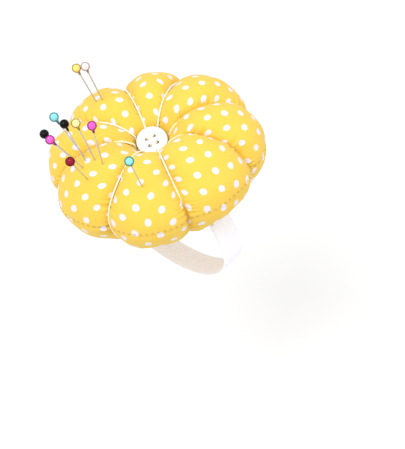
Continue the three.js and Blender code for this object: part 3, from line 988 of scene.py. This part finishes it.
def make_bar_tacks():
    """Dense zigzag stitches that hold each end of the band."""
    for name, direction in (("far", 1), ("near", -1)):
        low, high = (np.array(corner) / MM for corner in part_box(f"band_tack_{name}"))
        middle = (low + high) / 2
        path = []
        for k in range(TACK_STITCHES + 1):
            x = low[0] + TACK_EDGE + (high[0] - low[0] - 2 * TACK_EDGE) * k / TACK_STITCHES
            z = (low[2] + 0.25, high[2] - 0.25)[k % 2]
            path.append((x, middle[1], z))
            path.append((x + 0.02, middle[1] + 0.12 * direction, z))
        points, faces = sweep(resample(path, 0.25), TACK_THREAD_R, sides=8, plies=2, lay=1.0)
        tack = new_object(f"bar_tack_{name}", points, faces, WHITE_THREAD)
        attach(tack, "root")
        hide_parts(f"band_tack_{name}")


# ---- Base and filling -----------------------------------------------------------------------

BASE_GATHER = 0.16     # mm, height of the gathers at the base's edge
SLIP_STITCHES = 84
SLIP_THREAD_R = 0.16


def make_base_cover():
    """The round of fabric that rests on the wrist, with its edge turned in."""
    low, high = (np.array(corner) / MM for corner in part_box("base_cover"))
    radius, top = high[0], high[2]
    section = [(0.8, low[2]), *[(r, low[2]) for r in np.arange(2, radius - 2, 1.5)]]
    section += [(radius - 1.0, low[2] + 0.02), (radius - 0.3, low[2] + 0.12),
                (radius, top * 0.5), (radius - 0.3, top - 0.08), (radius - 1.0, top)]
    section += [(r, top) for r in np.arange(radius - 4, 1, -3)]
    points, faces = lathe(section, 120)
    points = np.array(points)
    about = np.arctan2(points[:, 1], points[:, 0])
    near_edge = swell(np.hypot(points[:, 0], points[:, 1]), radius - 4, radius - 0.8)
    waves = mixed_waves(about, PLEAT_COUNTS, (0.4, 2.1, 4.4))
    upper = points[:, 2] > 0.2
    points[:, 2] += BASE_GATHER * (near_edge * waves + 0.16 * near_edge) * upper
    cover = new_object("base_fabric", points, faces, COTTON)
    corner = [points[v][:2] for polygon in cover.data.polygons for v in polygon.vertices]
    cover.data.uv_layers.new(name="fabric").data.foreach_set("uv", np.ravel(corner))
    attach(cover, "root")
    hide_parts("base_cover")


def make_slip_stitches():
    """Small slanting stitches that join the base to the gathered hem."""
    _, high = (np.array(corner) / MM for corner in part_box("base_cover"))
    pieces = []
    for k in range(SLIP_STITCHES):
        a = TAU * (k + rng.uniform(-0.12, 0.12)) / SLIP_STITCHES
        path = []
        for t in np.linspace(0, 1, 6):
            angle = a + 0.022 * t
            r = high[0] - 1.0 + 2.6 * t
            z = 0.1 + 0.5 * t - 0.45 * math.sin(math.pi * t) + (0.35 if t in (0, 1) else 0)
            path.append((r * math.cos(angle), r * math.sin(angle), max(0.22, z)))
        pieces.append(sweep(resample(path, 0.25), SLIP_THREAD_R, sides=8, plies=2, lay=0.8))
    thread = new_object("slip_stitches", *together(pieces), YELLOW_THREAD)
    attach(thread, "root")


def make_filling():
    """The stuffed fibre, a lumpy copy of the cover's form inside it."""
    points, _, _, alphas = skin_grid(28, 12)
    inset = 2.2 + 0.25 * rng.standard_normal(points.shape[:2])
    inset = inset + 1.5 * swell(alphas, 1.8, 2.6)[:, None]
    filling = closed_skin("stuffing", points - grid_normals(points) * inset[..., None], FIBRE)
    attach(filling, "root")
    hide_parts("fibre_filling")


# ---- Build ----------------------------------------------------------------------------------

def make_cushion():
    skin = stretch_skin(skin_grid(fullness=SLACK)[0])
    flat, lobes, across, alphas = skin_grid(2 * ROWS - 1, 2 * LOBE_COLUMNS)
    skin, crease_shade = detail_skin(doubled(skin), across, alphas)
    cover = closed_skin("cushion", skin, COTTON)
    lay_fabric(cover, fabric_places(flat, lobes, across))
    # The crease value goes on the mesh for the painted shade in the cotton's colour.
    crease_shade = np.append(crease_shade.ravel(), (0.5, 0.5))
    cover.data.attributes.new("crease_shade", "FLOAT", "POINT").data.foreach_set("value", crease_shade)
    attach(cover, "root")
    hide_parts("cushion_cover")
    return cover, flat[np.argmin(np.abs(alphas - SEAM_ALPHA))]


make_camera()
cushion, seam_line = make_cushion()
make_filling()
make_furrow_threads()
make_running_stitches(surface_of(cushion), seam_line)
make_button()
make_button_stitches()
make_pins()
make_band()
make_bar_tacks()
make_base_cover()
make_slip_stitches()
# Two CAD pieces have the right shape as they are, and only take better materials.
for name, look in (("base_disc", CARD), ("tie_thread", WHITE_THREAD)):
    frame["nodes"][name].data.materials.clear()
    frame["nodes"][name].data.materials.append(look)


# ---- Stage ----------------------------------------------------------------------------------

FLOOR_Z = -0.2       # far enough below to take only a faint shadow
FLOOR_HALF = 3.0


def make_floor():
    corners = [(x * FLOOR_HALF, y * FLOOR_HALF, FLOOR_Z)
               for x, y in ((-1, -1), (1, -1), (1, 1), (-1, 1))]
    mesh = bpy.data.meshes.new("floor")
    mesh.from_pydata(corners, [], [(0, 1, 2, 3)])
    look = Look("pale_floor")
    look.set(Base_Color=(0.8, 0.8, 0.8), Roughness=0.9)
    mesh.materials.append(look.material)
    floor = bpy.data.objects.new("floor", mesh)
    bpy.context.scene.collection.objects.link(floor)


def make_light(name, azimuth, elevation, distance, size, watts):
    """A soft square light that looks at the cushion, placed as the camera is."""
    a, e = math.radians(azimuth), math.radians(elevation)
    out = Vector((math.sin(a) * math.cos(e), -math.cos(a) * math.cos(e), math.sin(e)))
    data = bpy.data.lights.new(name, "AREA")
    data.size = size
    data.energy = watts
    light = bpy.data.objects.new(name, data)
    light.location = CUSHION_MIDDLE + out * distance
    light.rotation_euler = out.to_track_quat("Z", "Y").to_euler()
    bpy.context.scene.collection.objects.link(light)


def make_surroundings(strength):
    world = bpy.data.worlds.new("studio")
    world.use_nodes = True
    background = world.node_tree.nodes["Background"]
    background.inputs["Color"].default_value = (1, 1, 1, 1)
    background.inputs["Strength"].default_value = strength
    bpy.context.scene.world = world


make_floor()
make_light("key", azimuth=-70, elevation=62, distance=0.9, size=0.45, watts=4.6)
make_light("fill", azimuth=30, elevation=35, distance=1.0, size=0.8, watts=2.0)
make_surroundings(1.02)
bpy.context.scene.view_settings.view_transform = "Standard"
